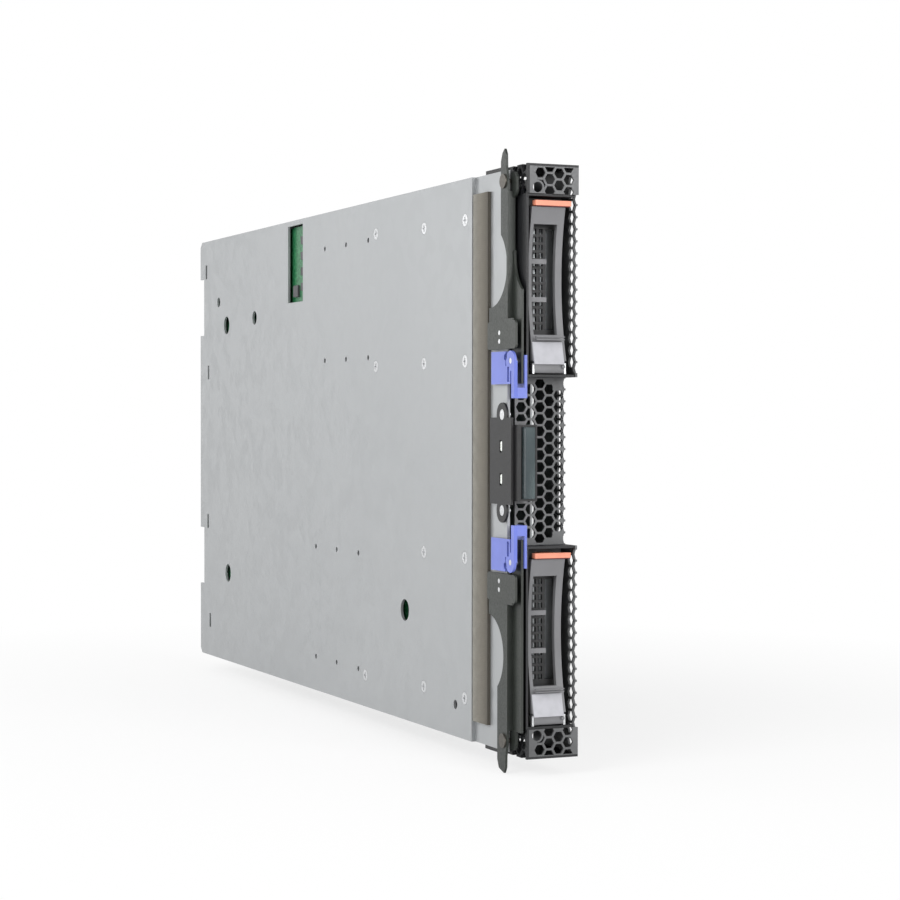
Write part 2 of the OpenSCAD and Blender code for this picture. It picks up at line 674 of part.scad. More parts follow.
module lever(swept, back) difference() {
    union() {
        side_sheet(x_plate, lever_t) plate_outline(back);
        side_sheet(x_pan, lever_t) bracket_outline();
        side_sheet(x_flange, lever_t) flange_outline(swept);
        block([x_plate, plate_front - 0.2, 9], [x_flange + lever_t, plate_front + 1, lever_l + bracket_h - 0.8]);
        block([x_pan, grip_front + 3, lever_l - 0.9], [x_plate + 0.1, arc_y - 4, lever_l + 0.4]);
    }
    x_bar(x_pan - 1, x_bay, pivot_y, pivot_z, pin_r + pin_gap);
    x_bar(x_flange - 1, x_bay, grip_y, grip_z, grip_pin_r + 0.02);
    for (p = rivets) x_bar(x_pan - 1, x_plate + lever_t + 1, p[0], p[1], 1);
}

module lever_upper() color("#2a2e2b") blade() flip(true) lever(true, -0.8);
module lever_lower() color("#2a2e2b") blade() lever(false, 2.2);

module lever_pins() color("#7d8184") blade() for (upper = [false, true]) flip(upper) {
    x_bar(x_pan, x_plate, pivot_y, pivot_z, 3);
    x_bar(x_plate, x_flange + lever_t, pivot_y, pivot_z, pin_r);
    x_bar(x_flange + lever_t, x_flange + lever_t + 0.5, pivot_y, pivot_z, pin_r);
    x_bar(x_flange + lever_t + 0.1, x_flange + lever_t + 0.6, pivot_y, pivot_z, 2.4);
}

grip_wall = 1.05;
// Moulded grip: a cheek with a hooked lobe, a slot, a finger bar and an inner leg
module grip() difference() {
    union() {
        side_sheet(x_pan, grip_wall) difference() {
            union() {
                translate([grip_y, grip_z]) circle(r = 4.2);
                rect(grip_y + 4.7, 23.4, grip_z - 4, grip_z + 9.5);
                rect(grip_y, grip_y + 5.5, grip_z + 2, grip_z + 9.5);
                rect(grip_front, grip_front + 4, grip_z, grip_end);
            }
            rect(grip_y + 1.1, grip_y + 2.9, grip_z + 2.4, grip_z + 8.6);
            translate([grip_y + 4.8, grip_z - 1.6]) circle(r = 1.4);
        }
        side_sheet(x_leg, leg_t) rect(grip_front, grip_front + 8, grip_z - 2.3, grip_end);
        block([x_pan, grip_front, grip_end - 4.3], [x_leg + leg_t, grip_front + 4, grip_end]);
    }
    x_bar(x_pan - 1, x_bay, grip_y, grip_z, grip_pin_r + pin_gap);
    translate([x_pan, grip_front, grip_z]) rotate([0, 0, 45]) cube([1.7, 1.7, 60], center = true);
}

module grip_upper() color("#7484d6") blade() flip(true) grip();
module grip_lower() color("#7484d6") blade() grip();

module grip_fasteners() {
    x_bar(x_pan + 0.1, x_leg + leg_t, grip_y, grip_z, grip_pin_r);
    for (p = rivets) x_bar(x_pan, x_plate + lever_t, p[0], p[1], 0.98);
}

module grip_pins_upper() color("#c9ccce") blade() flip(true) grip_fasteners();
module grip_pins_lower() color("#c9ccce") blade() grip_fasteners();

// ---- Drive carriers ----

x_right = x_carrier + carrier_w;
cheek = 0.8;
hinge_lift = 2;
hinge_front = 1.6;
handle_pin_r = 0.8;
latch_h = 2.1;
rail_t = (carrier_h - drive_w) / 2 - 0.1;
latch_lift = bay_h - carrier_gap - rail_t - latch_h - 0.1;
handle_top = latch_lift - 0.5;
handle_w = 15.2;
window_x = x_carrier + 1.5;
window_lift = 16.4;
bow_mid = window_lift + window_h / 2;
tray_t = 1;

// Tray with two rails and a front plate that is vented on one side and slotted on the other
module carrier(floor_z) translate([0, 0, floor_z + carrier_gap]) difference() {
    union() {
        block([x_carrier, front_plate_y, 0], [x_right, front_plate_y + front_plate_t, carrier_h]);
        block([x_carrier, front_plate_y, 0], [x_carrier + tray_t, drive_y + drive_l - 4, carrier_h]);
        for (z = [0, carrier_h - rail_t])
            block([x_carrier, front_plate_y, z], [x_right - 1.2, drive_y + drive_l - 4, z + rail_t]);
    }
    for (i = [0 : 1], j = [0 : 12])
        block([x_carrier + 3.6 + i * 2.9, front_plate_y - 1, window_lift + 2 + j * 3.3],
              [x_carrier + 5.4 + i * 2.9, front_plate_y + front_plate_t + 1, window_lift + 4.2 + j * 3.3]);
    block([x_carrier + 9.6, front_plate_y - 1, window_lift + 2],
          [x_right - 3.4, front_plate_y + front_plate_t + 1, window_lift + window_h - 2]);
    block([x_carrier + 5, front_plate_y - 1, latch_lift - 0.1 - carrier_gap],
          [x_right - 5, front_plate_y + front_plate_t + 1, latch_lift + latch_h + 0.1 - carrier_gap]);
    for (i = [0 : 2]) block([x_carrier - 1, 26 + i * 28, 10], [x_carrier + tray_t + 1, 44 + i * 28, carrier_h - 10]);
}

module carrier_upper() color("#232427") blade() carrier(bay_floors[1]);
module carrier_lower() color("#232427") blade() carrier(bay_floors[0]);

// Drive with its connector recess at the rear
module drive(floor_z) translate([x_carrier + tray_t + 0.1, drive_y, floor_z + (bay_h - drive_w) / 2])
    difference() {
        block([0, 0, 0], [drive_t, drive_l, drive_w]);
        block([drive_t / 2 - 3, drive_l - 5, drive_w / 2 - 20.5], [drive_t / 2 + 3, drive_l + 1, drive_w / 2 + 20.5]);
        block([drive_t - 1, 6, 5], [drive_t + 1, drive_l - 20, drive_w - 5]);
    }

module drive_upper() color("#9a9ea2") blade() drive(bay_floors[1]);
module drive_lower() color("#9a9ea2") blade() drive(bay_floors[0]);

// Side profile of the handle: a band bent to one radius, with a solid block at each end
module bow_profile(front, t) intersection() {
    rect(-0.7, 7.4, hinge_lift, handle_top);
    difference() {
        translate([bow - bow_r, bow_mid]) circle(r = bow_r + front + t, $fn = 128);
        translate([bow - bow_r, bow_mid]) circle(r = bow_r + front, $fn = 128);
    }
}

module handle(floor_z) translate([0, 0, floor_z]) difference() {
    union() {
        side_sheet(x_carrier, handle_w) difference() {
            bow_profile(0, handle_t);
            rect(-2, 9, 0, 5.6);
        }
        side_sheet(x_carrier + cheek + 0.1, handle_w - 2 * cheek - 0.2) {
            intersection() {
                bow_profile(0, 9);
                union() {
                    rect(-1, 6.4, 5, window_lift - 2);
                    rect(-1, 7.4, window_lift + window_h + 2, handle_top);
                }
            }
            intersection() {
                rect(0, 5, hinge_lift, 6);
                translate([hinge_front, hinge_lift]) circle(r = 4.6);
            }
            translate([hinge_front, hinge_lift]) circle(r = 1.5);
        }
        for (z = rib_z) side_sheet(x_carrier, rib_end) intersection() {
            bow_profile(0.2, 1.4);
            rect(-1, 8, z - 1, z + 1);
        }
    }
    difference() {
        block([window_x, -2, window_lift], [window_x + window_w, 9, window_lift + window_h]);
        for (z = rib_z) block([x_carrier, -2, z - 1], [x_carrier + rib_end, 9, z + 1]);
    }
    x_bar(x_carrier - 1, x_right + 1, hinge_front, hinge_lift, handle_pin_r + pin_gap);
}
rib_z = [window_lift + 14.6, window_lift + 30.3];
rib_end = 8.2;

module handle_upper() color("#77797d") blade() handle(bay_floors[1]);
module handle_lower() color("#77797d") blade() handle(bay_floors[0]);

// Bare plate on the lower end of the handle
module handle_label(floor_z) translate([0, 0, floor_z])
    side_sheet(x_carrier + 0.3, handle_w - 1.6) intersection() {
        rect(-2, 7, 4.2, 13.4);
        difference() {
            translate([bow - bow_r, bow_mid]) circle(r = bow_r, $fn = 128);
            translate([bow - bow_r, bow_mid]) circle(r = bow_r - 0.6, $fn = 128);
        }
    }

module handle_label_upper() color("#c2c3c8") blade() handle_label(bay_floors[1]);
module handle_label_lower() color("#c2c3c8") blade() handle_label(bay_floors[0]);

// Push latch above the handle, its stem guided by a slot in the front plate
module latch(floor_z) translate([0, 0, floor_z + latch_lift]) {
    block([x_carrier + 1, -0.4, 0], [x_right + 0.3, 2.8, latch_h]);
    block([x_carrier + 5.2, 2.8, 0], [x_right - 5.2, front_plate_y + front_plate_t + 0.1, latch_h]);
}

module latch_upper() color("#e8623f") blade() latch(bay_floors[1]);
module latch_lower() color("#e8623f") blade() latch(bay_floors[0]);

// Hinge bracket of the handle: two cheeks on the front plate with a pin between them
module handle_hinge(floor_z) {
    x_bar(x_carrier + 0.1, x_carrier + handle_w - 0.1, hinge_front, floor_z + hinge_lift, handle_pin_r);
    for (x = [x_carrier, x_carrier + handle_w - cheek])
        block([x, 0.3, floor_z + carrier_gap], [x + cheek, front_plate_y, floor_z + carrier_gap + 4.4]);
}

module handle_hinge_upper() color("#8b8e92") blade() handle_hinge(bay_floors[1]);
module handle_hinge_lower() color("#8b8e92") blade() handle_hinge(bay_floors[0]);

base_pan();
side_gasket();
bezel_top();
bezel_bottom();
centre_grille();
upper_grille();
lower_grille();
side_grille();
drive_bay_upper();
drive_bay_lower();
backplane_boards();
backplane_connectors();
pan_screws();
system_board();
board_standoffs();
board_screws();
processor_sockets();
processors();
heatsink_front();
heatsink_rear();
heatsink_screws();
memory_sockets();
memory_modules();
chipset_heatsink();
battery_holder();
coin_cell();
expansion_connectors();
midplane_connectors();
board_components();
control_panel_housing();
control_panel_screws();
control_panel_board();
status_light_pipes();
control_panel_door();
power_button();
media_button();
kvm_button();
cover();
cover_hinge_pins();
cover_release_upper();
cover_release_lower();
lever_upper();
lever_lower();
lever_pins();
grip_upper();
grip_lower();
grip_pins_upper();
grip_pins_lower();
carrier_upper();
carrier_lower();
drive_upper();
drive_lower();
handle_upper();
handle_lower();
handle_label_upper();
handle_label_lower();
latch_upper();
latch_lower();
handle_hinge_upper();
handle_hinge_lower();
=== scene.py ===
"""Looks of a slim blade server: galvanised pan, black honeycomb front, grey drive handles and blue grips."""

import json
import math

import bmesh
import bpy
from mathutils import Matrix, Vector


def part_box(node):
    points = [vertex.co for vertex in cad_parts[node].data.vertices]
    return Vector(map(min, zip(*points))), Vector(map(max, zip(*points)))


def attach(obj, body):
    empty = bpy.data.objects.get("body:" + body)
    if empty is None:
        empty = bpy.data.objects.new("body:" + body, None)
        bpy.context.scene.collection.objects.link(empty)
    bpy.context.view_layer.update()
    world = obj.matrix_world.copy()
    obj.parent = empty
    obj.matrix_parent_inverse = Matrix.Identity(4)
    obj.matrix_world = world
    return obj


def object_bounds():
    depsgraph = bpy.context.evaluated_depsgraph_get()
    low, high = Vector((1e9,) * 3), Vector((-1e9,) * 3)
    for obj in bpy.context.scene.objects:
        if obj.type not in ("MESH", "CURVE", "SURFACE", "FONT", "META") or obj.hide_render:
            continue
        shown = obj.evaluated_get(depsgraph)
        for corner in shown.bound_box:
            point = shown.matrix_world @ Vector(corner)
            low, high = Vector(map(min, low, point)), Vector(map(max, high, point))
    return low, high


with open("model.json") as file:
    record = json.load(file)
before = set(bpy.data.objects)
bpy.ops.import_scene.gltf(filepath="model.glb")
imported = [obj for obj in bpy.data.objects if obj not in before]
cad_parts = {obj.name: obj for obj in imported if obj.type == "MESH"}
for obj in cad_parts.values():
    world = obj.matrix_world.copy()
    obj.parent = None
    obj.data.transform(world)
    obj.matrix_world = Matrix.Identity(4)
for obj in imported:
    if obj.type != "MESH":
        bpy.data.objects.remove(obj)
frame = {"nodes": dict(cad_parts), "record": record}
cad_box = [list(corner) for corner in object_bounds()]
nodes = frame["nodes"]

MM = 0.001

MODULE_T = 1.2 * MM          # board of a memory module
CHIP_T = 0.9 * MM
CHIPS_IN_A_ROW = 9
MODULES = 12
CONNECTOR_HEIGHTS = (57.5 * MM, 203.0 * MM)
PIN_PITCH = 1.6 * MM
PLUG_DEPTH = 13.8 * MM       # from the front of the panel housing to the middle of its side slots
PLUG_HEIGHTS = (-6.9 * MM, 6.8 * MM)
RIDGE_PITCH = 1.1 * MM


# ---- Materials ----

class Finish:
    """A procedural finish: one Principled shader with a few texture nodes that read Object coordinates."""

    def __init__(self, name, color, roughness, metallic=0.0, **sockets):
        self.material = bpy.data.materials.new(name)
        self.material.use_nodes = True
        self.tree = self.material.node_tree
        self.shader = self.tree.nodes["Principled BSDF"]
        self.set("Base Color", (*color, 1.0))
        self.set("Roughness", roughness)
        self.set("Metallic", metallic)
        for socket, value in sockets.items():
            self.set(socket.replace("_", " "), value)
        self.color = color
        self.place = self.node("ShaderNodeTexCoord").outputs["Object"]

    def set(self, socket, value):
        self.shader.inputs[socket].default_value = value

    def node(self, kind, **settings):
        made = self.tree.nodes.new(kind)
        for key, value in settings.items():
            setattr(made, key, value)
        return made

    def link(self, source, target):
        self.tree.links.new(source, target)

    def noise(self, scale, detail=3.0, roughness=0.5, stretch=(1.0, 1.0, 1.0)):
        """Noise with features of about 1/scale metres, stretched along the axes."""
        mapping = self.node("ShaderNodeMapping")
        mapping.inputs["Scale"].default_value = stretch
        self.link(self.place, mapping.inputs["Vector"])
        texture = self.node("ShaderNodeTexNoise")
        texture.inputs["Scale"].default_value = scale
        texture.inputs["Detail"].default_value = detail
        texture.inputs["Roughness"].default_value = roughness
        self.link(mapping.outputs["Vector"], texture.inputs["Vector"])
        return texture.outputs["Fac"]

    def cells(self, scale, output="Color", feature="F1", stretch=(1.0, 1.0, 1.0)):
        """Random cells of about 1/scale metres, as crystals in zinc."""
        mapping = self.node("ShaderNodeMapping")
        mapping.inputs["Scale"].default_value = stretch
        self.link(self.place, mapping.inputs["Vector"])
        texture = self.node("ShaderNodeTexVoronoi", feature=feature)
        texture.inputs["Scale"].default_value = scale
        self.link(mapping.outputs["Vector"], texture.inputs["Vector"])
        return texture.outputs[output]

    def ramp(self, value, stops):
        """Maps a value to colours: stops are (position, colour) pairs."""
        made = self.node("ShaderNodeValToRGB")
        ramp = made.color_ramp
        while len(ramp.elements) < len(stops):
            ramp.elements.new(0.5)
        for element, (position, color) in zip(ramp.elements, stops):
            element.position = position
            element.color = (*color, 1.0)
        self.link(value, made.inputs["Fac"])
        return made.outputs["Color"]

    def span(self, value, low, high, from_low=0.3, from_high=0.7):
        """Maps a value from one range to another."""
        made = self.node("ShaderNodeMapRange")
        made.inputs["From Min"].default_value = from_low
        made.inputs["From Max"].default_value = from_high
        made.inputs["To Min"].default_value = low
        made.inputs["To Max"].default_value = high
        self.link(value, made.inputs["Value"])
        return made.outputs["Result"]

    def mix(self, factor, first, second, blend="MIX"):
        """Mixes two colours; each is a colour or an output, and so is the factor."""
        made = self.node("ShaderNodeMix", data_type="RGBA", blend_type=blend)
        for socket, value in (("Factor", factor), ("A", first), ("B", second)):
            target = next(i for i in made.inputs if i.name == socket and i.enabled)
            if isinstance(value, bpy.types.NodeSocket):
                self.link(value, target)
            elif socket == "Factor":
                target.default_value = value
            else:
                target.default_value = (*value, 1.0)
        return next(o for o in made.outputs if o.enabled)

    def vary(self, factor, spread):
        """Lets the base colour drift between darker and lighter by the spread."""
        dark = tuple(c * (1 - spread) for c in self.color)
        light = tuple(min(1, c * (1 + spread)) for c in self.color)
        color = self.mix(self.span(factor, 0, 1), dark, light)
        self.link(color, self.shader.inputs["Base Color"])
        return color

    def rough(self, factor, low, high):
        self.link(self.span(factor, low, high), self.shader.inputs["Roughness"])

    def bump(self, height, strength, distance):
        made = self.node("ShaderNodeBump")
        made.inputs["Strength"].default_value = strength
        made.inputs["Distance"].default_value = distance
        self.link(height, made.inputs["Height"])
        self.link(made.outputs["Normal"], self.shader.inputs["Normal"])

    def axis(self, name):
        """One coordinate of the place, in metres."""
        made = self.node("ShaderNodeSeparateXYZ")
        self.link(self.place, made.inputs["Vector"])
        return made.outputs[name]


def galvanised_steel():
    steel = Finish("galvanised_steel", (0.46, 0.475, 0.485), 0.5, 0.55)
    crystals = steel.cells(170.0, "Color", stretch=(1.0, 1.0, 0.8))
    grey = steel.node("ShaderNodeRGBToBW")
    steel.link(crystals, grey.inputs["Color"])
    drift = steel.noise(5.0, 2.0)
    fine = steel.noise(900.0, 2.0, stretch=(1.0, 0.2, 1.0))
    cell_tone = steel.mix(steel.span(grey.outputs["Val"], 0, 1), (0.36, 0.372, 0.38), (0.385, 0.396, 0.404))
    tone = steel.mix(steel.span(drift, 0.0, 0.35), cell_tone, (0.425, 0.435, 0.44))
    steel.link(tone, steel.shader.inputs["Base Color"])
    steel.rough(grey.outputs["Val"], 0.42, 0.56)
    steel.bump(fine, 0.05, 0.0002)
    return steel.material


def black_paint():
    paint = Finish("black_paint", (0.008, 0.0085, 0.01), 0.5)
    grain = paint.noise(1800.0, 3.0)
    paint.vary(paint.noise(60.0), 0.15)
    paint.rough(grain, 0.42, 0.58)
    paint.bump(grain, 0.12, 0.0001)
    return paint.material


def grille_paint_and_sheen():
    # The grey base is the sheets' dark paint lightened by painted sheen of their front-facing surfaces.
    paint = Finish("grille_paint_and_sheen", (0.115, 0.117, 0.12), 0.45, 0.3)
    grain = paint.noise(1500.0, 3.0)
    paint.vary(paint.noise(35.0), 0.25)
    paint.rough(grain, 0.34, 0.52)
    paint.bump(grain, 0.1, 0.0001)
    return paint.material


def dark_pin():
    pin = Finish("dark_pin", (0.1, 0.092, 0.08), 0.4, 0.7)
    pin.vary(pin.noise(900.0), 0.2)
    return pin.material


def lever_paint():
    paint = Finish("lever_paint", (0.022, 0.026, 0.022), 0.42, 0.1)
    grain = paint.noise(1200.0, 3.0)
    paint.vary(paint.noise(45.0), 0.2)
    paint.rough(grain, 0.32, 0.5)
    paint.bump(grain, 0.1, 0.0001)
    return paint.material


def black_moulding():
    moulding = Finish("black_moulding", (0.009, 0.009, 0.01), 0.55)
    grain = moulding.noise(2500.0, 2.0)
    moulding.vary(moulding.noise(80.0), 0.15)
    moulding.rough(grain, 0.42, 0.58)
    moulding.bump(grain, 0.15, 0.0001)
    return moulding.material


def gasket_weave():
    weave = Finish("gasket_weave", (0.16, 0.145, 0.115), 0.75)
    threads = weave.node("ShaderNodeTexWave", wave_type="BANDS", bands_direction="Z")
    threads.inputs["Scale"].default_value = 400.0
    weave.link(weave.place, threads.inputs["Vector"])
    depth = weave.axis("Y")
    low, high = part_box("side_gasket")
    across = weave.span(depth, 0.0, 1.0, low[1], high[1])
    # The brown-olive is the gasket's own colour; the ramp from dark at the front edge to light at the rear is
    # painted shade in the recessed band.
    tone = weave.ramp(across, [(0.0, (0.075, 0.068, 0.055)), (0.25, (0.13, 0.118, 0.095)),
                               (0.7, (0.19, 0.178, 0.15)), (1.0, (0.26, 0.25, 0.22))])
    mottled = weave.mix(weave.span(weave.noise(220.0, 4.0), 0.0, 0.35), tone, (0.1, 0.09, 0.075))
    weave.link(mottled, weave.shader.inputs["Base Color"])
    weave.bump(threads.outputs["Fac"], 0.2, 0.0002)
    return weave.material


def solder_mask():
    mask = Finish("solder_mask", (0.015, 0.14, 0.055), 0.35)
    traces = mask.cells(420.0, "Distance", feature="DISTANCE_TO_EDGE")
    lines = mask.ramp(traces, [(0.0, (0.05, 0.24, 0.1)), (0.12, (0.012, 0.12, 0.045)),
                               (1.0, (0.01, 0.11, 0.04))])
    mask.link(lines, mask.shader.inputs["Base Color"])
    mask.bump(traces, 0.1, 0.0001)
    return mask.material


def zinc_plate():
    plate = Finish("zinc_plate", (0.62, 0.63, 0.64), 0.3, 0.9)
    plate.vary(plate.noise(700.0), 0.12)
    plate.rough(plate.noise(1500.0), 0.24, 0.4)
    return plate.material


def brass_turned():
    brass = Finish("brass_turned", (0.6, 0.45, 0.2), 0.32, 0.9)
    brass.vary(brass.noise(600.0), 0.1)
    return brass.material


def ivory_moulding():
    ivory = Finish("ivory_moulding", (0.72, 0.66, 0.5), 0.5)
    ivory.vary(ivory.noise(150.0), 0.06)
    ivory.bump(ivory.noise(2500.0), 0.1, 0.0001)
    return ivory.material


def extruded_aluminium():
    metal = Finish("extruded_aluminium", (0.66, 0.67, 0.68), 0.35, 0.9)
    lines = metal.noise(500.0, 2.0, stretch=(6.0, 0.1, 6.0))
    metal.vary(lines, 0.08)
    metal.rough(lines, 0.28, 0.42)
    metal.bump(lines, 0.08, 0.0001)
    return metal.material


def chip_resin():
    resin = Finish("chip_resin", (0.06, 0.06, 0.065), 0.55)
    resin.vary(resin.noise(120.0), 0.35)
    resin.bump(resin.noise(3000.0), 0.12, 0.0001)
    return resin.material


def light_guide():
    guide = Finish("light_guide", (0.78, 0.92, 0.82), 0.35)
    guide.vary(guide.noise(900.0), 0.05)
    return guide.material


def smoked_panel():
    smoke = Finish("smoked_panel", (0.12, 0.165, 0.175), 0.16, 0.0, Coat_Weight=0.6, Coat_Roughness=0.08)
    smoke.set("Alpha", 0.86)
    cloud = smoke.noise(70.0, 3.0, stretch=(1.0, 1.0, 0.35))
    tone = smoke.ramp(smoke.span(cloud, 0.0, 1.0), [(0.0, (0.022, 0.034, 0.038)),
                                                    (0.55, (0.045, 0.066, 0.072)),
                                                    (1.0, (0.1, 0.135, 0.135))])
    smoke.link(tone, smoke.shader.inputs["Base Color"])
    return smoke.material


def white_cap():
    cap = Finish("white_cap", (0.8, 0.83, 0.78), 0.3)
    cap.vary(cap.noise(500.0), 0.04)
    return cap.material


def grey_cap():
    cap = Finish("grey_cap", (0.1, 0.105, 0.11), 0.42)
    cap.vary(cap.noise(500.0), 0.1)
    return cap.material


def blue_moulding():
    blue = Finish("blue_moulding", (0.13, 0.17, 0.55), 0.36, 0.0, Coat_Weight=0.15, Coat_Roughness=0.25)
    blue.vary(blue.noise(90.0, 2.0), 0.08)
    grain = blue.noise(2200.0, 2.0)
    blue.rough(grain, 0.3, 0.44)
    blue.bump(grain, 0.06, 0.0001)
    return blue.material


def cast_case():
    case = Finish("cast_case", (0.4, 0.42, 0.43), 0.42, 0.8)
    case.vary(case.noise(60.0), 0.08)
    case.bump(case.noise(1400.0, 4.0), 0.15, 0.0001)
    return case.material


def handle_moulding():
    grey = Finish("handle_moulding", (0.17, 0.17, 0.178), 0.45)
    grain = grey.noise(1700.0, 3.0)
    grey.vary(grey.noise(50.0, 2.0), 0.1)
    grey.rough(grain, 0.38, 0.54)
    grey.bump(grain, 0.12, 0.0001)
    return grey.material


def label_plate():
    plate = Finish("label_plate", (0.42, 0.42, 0.45), 0.5)
    plate.vary(plate.noise(300.0, 2.0), 0.06)
    plate.bump(plate.noise(1500.0), 0.05, 0.0001)
    return plate.material


def coral_moulding():
    coral = Finish("coral_moulding", (0.75, 0.27, 0.17), 0.42)
    coral.vary(coral.noise(160.0, 2.0), 0.08)
    coral.bump(coral.noise(2200.0), 0.05, 0.0001)
    return coral.material


FINISHES = {
    "galvanised": galvanised_steel(), "gasket": gasket_weave(), "black_sheet": black_paint(),
    "black_cage": black_paint(), "circuit_board": solder_mask(), "black_plastic": black_moulding(),
    "screws": zinc_plate(), "standoffs": brass_turned(), "ivory_plastic": ivory_moulding(),
    "heatsinks": extruded_aluminium(), "components": chip_resin(), "light_pipes": light_guide(),
    "pivot_pins": dark_pin(), "smoked_door": smoked_panel(), "power_cap": white_cap(),
    "grey_caps": grey_cap(), "lever_sheet": lever_paint(), "blue_touch": blue_moulding(),
    "drive_case": cast_case(), "handle_grey": handle_moulding(), "label_grey": label_plate(),
    "latch_orange": coral_moulding(),
}


def dress_nodes():
    """Gives each CAD node the finish of its material slot; the perforated sheets get a lighter grey, their
    dark paint plus painted sheen.
    """
    grille = grille_paint_and_sheen()
    slots = {part["node"]: part["material_slot"] for part in frame["record"]["subparts"]}
    for name, node in nodes.items():
        node.data.materials.clear()
        node.data.materials.append(grille if name.endswith("grille") else FINISHES[slots[name]])


# ---- Fine pieces ----

def mesh_piece(name, bm, finish, body):
    """Makes one object of a mesh, at the origin, that rides on a body."""
    bmesh.ops.recalc_face_normals(bm, faces=bm.faces)
    mesh = bpy.data.meshes.new(name)
    bm.to_mesh(mesh)
    bm.free()
    piece = bpy.data.objects.new(name, mesh)
    piece.data.materials.append(finish)
    bpy.context.collection.objects.link(piece)
    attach(piece, body)


def bevelled_bar(bm, low, high, bevel):
    """Adds a bar between two corners with all its edges bevelled."""
    made = bmesh.ops.create_cube(bm, size=1.0)
    low, high = Vector(low), Vector(high)
    middle, size = (low + high) / 2, high - low
    for vertex in made["verts"]:
        vertex.co = Vector(c * s for c, s in zip(vertex.co, size)) + middle
    edges = {edge for vertex in made["verts"] for edge in vertex.link_edges}
    bmesh.ops.bevel(bm, geom=list(edges), offset=bevel, segments=2, affect="EDGES")


def dome(bm, centre, radius, height, way):
    """Adds a shallow dome that faces along an axis, such as a rivet or a screw head."""
    turn = Vector(way).to_track_quat("Z", "Y").to_matrix().to_4x4()
    rings, around = 4, 24
    last = None
    for ring in range(rings):
        angle = ring / (rings - 1) * math.pi / 2 * 0.94
        reach, lift = radius * math.cos(angle), height * math.sin(angle)
        row = [bm.verts.new(Vector(centre) + turn @ Vector((reach * math.cos(a), reach * math.sin(a), lift)))
               for a in (2 * math.pi * k / around for k in range(around))]
        if last:
            for k in range(around):
                bm.faces.new((last[k], last[(k + 1) % around], row[(k + 1) % around], row[k]))
        else:
            bm.faces.new(list(reversed(row)))
        last = row
    bm.faces.new(last)


def add_memory_chips():
    """Rows of memory chips on both faces of each module."""
    low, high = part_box("memory_modules")
    pitch = (high[2] - low[2] - MODULE_T) / (MODULES - 1)
    bm = bmesh.new()
    step = (high[1] - low[1] - 8 * MM) / CHIPS_IN_A_ROW
    for k in range(MODULES):
        middle = low[2] + MODULE_T / 2 + k * pitch
        for side in (-1, 1):
            face = middle + side * MODULE_T / 2
            for j in range(CHIPS_IN_A_ROW):
                front = low[1] + 4 * MM + j * step + 1.2 * MM
                ends = sorted((face, face + side * CHIP_T))
                bevelled_bar(bm, (high[0] - 17 * MM, front, ends[0]),
                             (high[0] - 6 * MM, front + step - 2.4 * MM, ends[1]), 0.1 * MM)
    mesh_piece("memory_chips", bm, FINISHES["components"], "blade")


def add_panel_plugs():
    """Two light oval plugs in the slots of the control panel's side plate."""
    low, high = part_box("control_panel_housing")
    bm = bmesh.new()
    middle = (low[2] + high[2]) / 2
    for lift in PLUG_HEIGHTS:
        for k in (-1, 0, 1):
            centre = (low[0] + 0.36 * MM, low[1] + PLUG_DEPTH, middle + lift + k * 1.1 * MM)
            dome(bm, centre, 1.0 * MM, 0.35 * MM, (-1, 0, 0))
    mesh_piece("panel_plugs", bm, FINISHES["power_cap"], "blade")


def add_handle_ridges():
    """Ridges across the lower block of each drive handle and a knob at its end."""
    for end in ("lower", "upper"):
        low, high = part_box("handle_" + end)
        plate_low, plate_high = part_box("handle_label_" + end)
        bm = bmesh.new()
        for k in range(2):
            z = plate_high[2] + 0.7 * MM + k * RIDGE_PITCH
            bevelled_bar(bm, (low[0] + 1.0 * MM, plate_low[1] + 0.02 * MM, z),
                         (high[0] - 1.0 * MM, plate_low[1] + 1.6 * MM, z + 0.5 * MM), 0.12 * MM)
        knob = (high[0] - 1.6 * MM, plate_low[1] + 0.5 * MM, plate_low[2] - 1.0 * MM)
        dome(bm, knob, 0.8 * MM, 0.5 * MM, (0, -1, 0))
        mesh_piece("handle_ridges_" + end, bm, FINISHES["handle_grey"], "handle_" + end)


def add_latch_shades():
    """A dark red strip under each latch pad: painted shade under the pad."""
    # The dark red stands in for the shadow under the latch pad: painted shade, not a colour of the latch.
    shade = Finish("coral_painted_shade", (0.16, 0.02, 0.015), 0.5)
    shade.vary(shade.noise(300.0), 0.15)
    for end in ("lower", "upper"):
        low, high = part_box("latch_" + end)
        bm = bmesh.new()
        bevelled_bar(bm, (low[0] + 0.3 * MM, low[1] + 0.25 * MM, low[2] - 0.35 * MM),
                     (high[0] - 0.3 * MM, low[1] + 1.6 * MM, low[2] + 0.1 * MM), 0.1 * MM)
        mesh_piece("latch_painted_shade_" + end, bm, shade.material, "latch_" + end)


def add_door_frame():
    """A bright rim on the left edge of the control panel door."""
    low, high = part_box("control_panel_door")
    bm = bmesh.new()
    bevelled_bar(bm, (low[0] + 0.5 * MM, low[1] - 0.02 * MM, low[2] + 1.2 * MM),
                 (low[0] + 1.0 * MM, low[1] + 0.4 * MM, high[2] - 1.2 * MM), 0.1 * MM)
    mesh_piece("door_rim", bm, FINISHES["grey_caps"], "door")


def add_connector_pins():
    """Contact rows on the rear faces of the two midplane connectors."""
    low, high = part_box("midplane_connectors")
    bm = bmesh.new()
    across = (low[0] + high[0]) / 2
    for middle in CONNECTOR_HEIGHTS:
        for i in range(4):
            for j in range(9):
                x = across + (i - 1.5) * PIN_PITCH
                z = middle + (j - 4) * PIN_PITCH
                bevelled_bar(bm, (x - 0.2 * MM, high[1] - 1.2 * MM, z - 0.3 * MM),
                             (x + 0.2 * MM, high[1] - 0.05 * MM, z + 0.3 * MM), 0.05 * MM)
    mesh_piece("connector_pins", bm, FINISHES["standoffs"], "blade")


